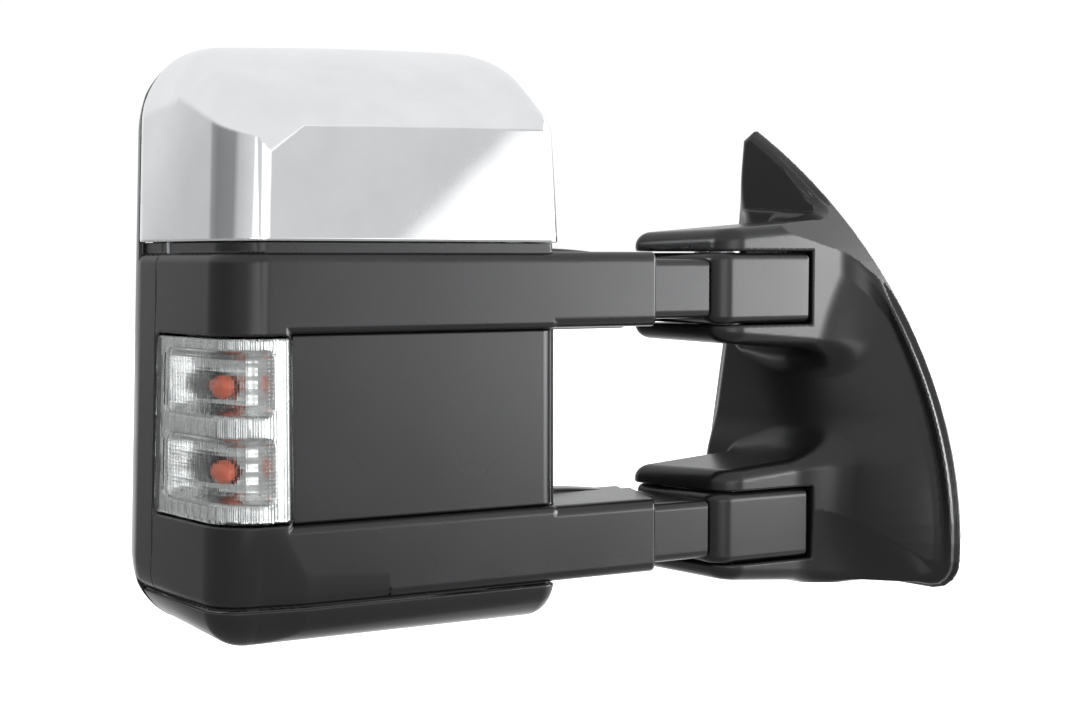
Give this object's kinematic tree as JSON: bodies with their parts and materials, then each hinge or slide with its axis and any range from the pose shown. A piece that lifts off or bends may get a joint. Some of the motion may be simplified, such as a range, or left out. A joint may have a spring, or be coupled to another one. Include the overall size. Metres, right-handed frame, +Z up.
{
  "type": "telescoping tow mirror",
  "caption": "Right-hand folding and telescoping tow mirror: twin arms on a door base carry a bright-capped head with a wrap-round signal lamp and two adjustable glasses.",
  "frame": {"origin": "centre of the door stud pattern, on the door face", "axes": "+X inboard, into the door along the studs; +Y to the rear of the vehicle; +Z up"},
  "size_m": [0.5392, 0.356, 0.413],
  "materials": {
    "base_plastic": "satin moulded black",
    "gasket_rubber": "matt",
    "plate_steel": "zinc plated",
    "stud_steel": "zinc plated",
    "plate_screw_steel": "zinc plated",
    "grommet_rubber": "matt",
    "pin_steel": "zinc plated",
    "washer_steel": "zinc plated",
    "knuckle_upper_plastic": "satin moulded black",
    "knuckle_lower_plastic": "satin moulded black",
    "tube_upper_paint": "extruded, painted satin black",
    "tube_lower_paint": "extruded, painted satin black",
    "bush_brass": "machined",
    "spring_steel": "zinc plated",
    "tie_steel": "zinc plated",
    "tie_bolt_steel": "zinc plated",
    "front_shell_plastic": "satin moulded black",
    "rear_shell_plastic": "satin moulded black",
    "cap_chrome": "moulded, with mirror bright plating",
    "lower_cap_plastic": "satin moulded black",
    "panel_plastic": "satin moulded black",
    "frame_aluminium": "die cast",
    "frame_screw_steel": "zinc plated",
    "shell_screw_steel": "zinc plated",
    "guide_plastic": "acetal",
    "lens_clear": "clear, fluted inside",
    "lamp_reflector": "moulded and vacuum metallised",
    "bulb_amber": "amber glass",
    "socket_plastic": "satin moulded black",
    "actuator_plastic": "satin moulded black",
    "actuator_screw_steel": "zinc plated",
    "bracket_plastic": "satin moulded black",
    "bracket_screw_steel": "zinc plated",
    "upper_gimbal_steel": "zinc plated",
    "upper_holder_plastic": "satin moulded black",
    "upper_mirror": "silvered",
    "lower_gimbal_steel": "zinc plated",
    "lower_holder_plastic": "satin moulded black",
    "lower_mirror": "silvered"
  },
  "bodies": {
    "base": {"base_housing": "base_plastic", "door_gasket": "gasket_rubber", "stud_plate": "plate_steel", "door_studs": "stud_steel", "plate_screws": "plate_screw_steel", "wire_grommet": "grommet_rubber", "fold_pins": "pin_steel", "thrust_washers": "washer_steel"},
    "arms": {"knuckle_upper": "knuckle_upper_plastic", "knuckle_lower": "knuckle_lower_plastic", "tube_upper": "tube_upper_paint", "tube_lower": "tube_lower_paint", "pivot_bushes": "bush_brass", "disc_springs": "spring_steel", "tube_tie": "tie_steel", "tie_bolts": "tie_bolt_steel"},
    "head": {"front_shell": "front_shell_plastic", "rear_shell": "rear_shell_plastic", "chrome_cap": "cap_chrome", "lower_cap": "lower_cap_plastic", "front_panel": "panel_plastic", "head_frame": "frame_aluminium", "frame_screws": "frame_screw_steel", "shell_screws": "shell_screw_steel", "slide_guides": "guide_plastic", "signal_lens": "lens_clear", "lamp_housing": "lamp_reflector", "signal_bulbs": "bulb_amber", "bulb_sockets": "socket_plastic", "glass_actuator": "actuator_plastic", "actuator_screws": "actuator_screw_steel", "spot_bracket": "bracket_plastic", "bracket_screws": "bracket_screw_steel"},
    "upper_pan_link": {"upper_gimbal": "upper_gimbal_steel"},
    "upper_mirror": {"upper_holder": "upper_holder_plastic", "upper_glass": "upper_mirror"},
    "lower_pan_link": {"lower_gimbal": "lower_gimbal_steel"},
    "lower_mirror": {"lower_holder": "lower_holder_plastic", "lower_glass": "lower_mirror"}
  },
  "joints": [
    {"name": "fold", "type": "hinge", "parent": "base", "child": "arms", "pos_m": [-0.102, 0, 0], "axis": [0, 0, -1], "range_deg": [0, 60]},
    {"name": "telescope", "type": "slide", "parent": "arms", "child": "head", "axis": [-0.9703, 0.2419, 0], "range_m": [0, 0.075]},
    {"name": "upper_pan", "type": "hinge", "parent": "head", "child": "upper_pan_link", "pos_m": [-0.37372, 0.13371, 0.124], "axis": [0, 0, 1], "range_deg": [-7, 7]},
    {"name": "upper_tilt", "type": "hinge", "parent": "upper_pan_link", "child": "upper_mirror", "pos_m": [-0.37372, 0.13371, 0.124], "axis": [0.9703, -0.2419, 0], "range_deg": [-7, 7]},
    {"name": "lower_pan", "type": "hinge", "parent": "head", "child": "lower_pan_link", "pos_m": [-0.37372, 0.13371, -0.0675], "axis": [0, 0, 1], "range_deg": [-7, 7]},
    {"name": "lower_tilt", "type": "hinge", "parent": "lower_pan_link", "child": "lower_mirror", "pos_m": [-0.37372, 0.13371, -0.0675], "axis": [0.9703, -0.2419, 0], "range_deg": [-7, 7]}
  ]
}
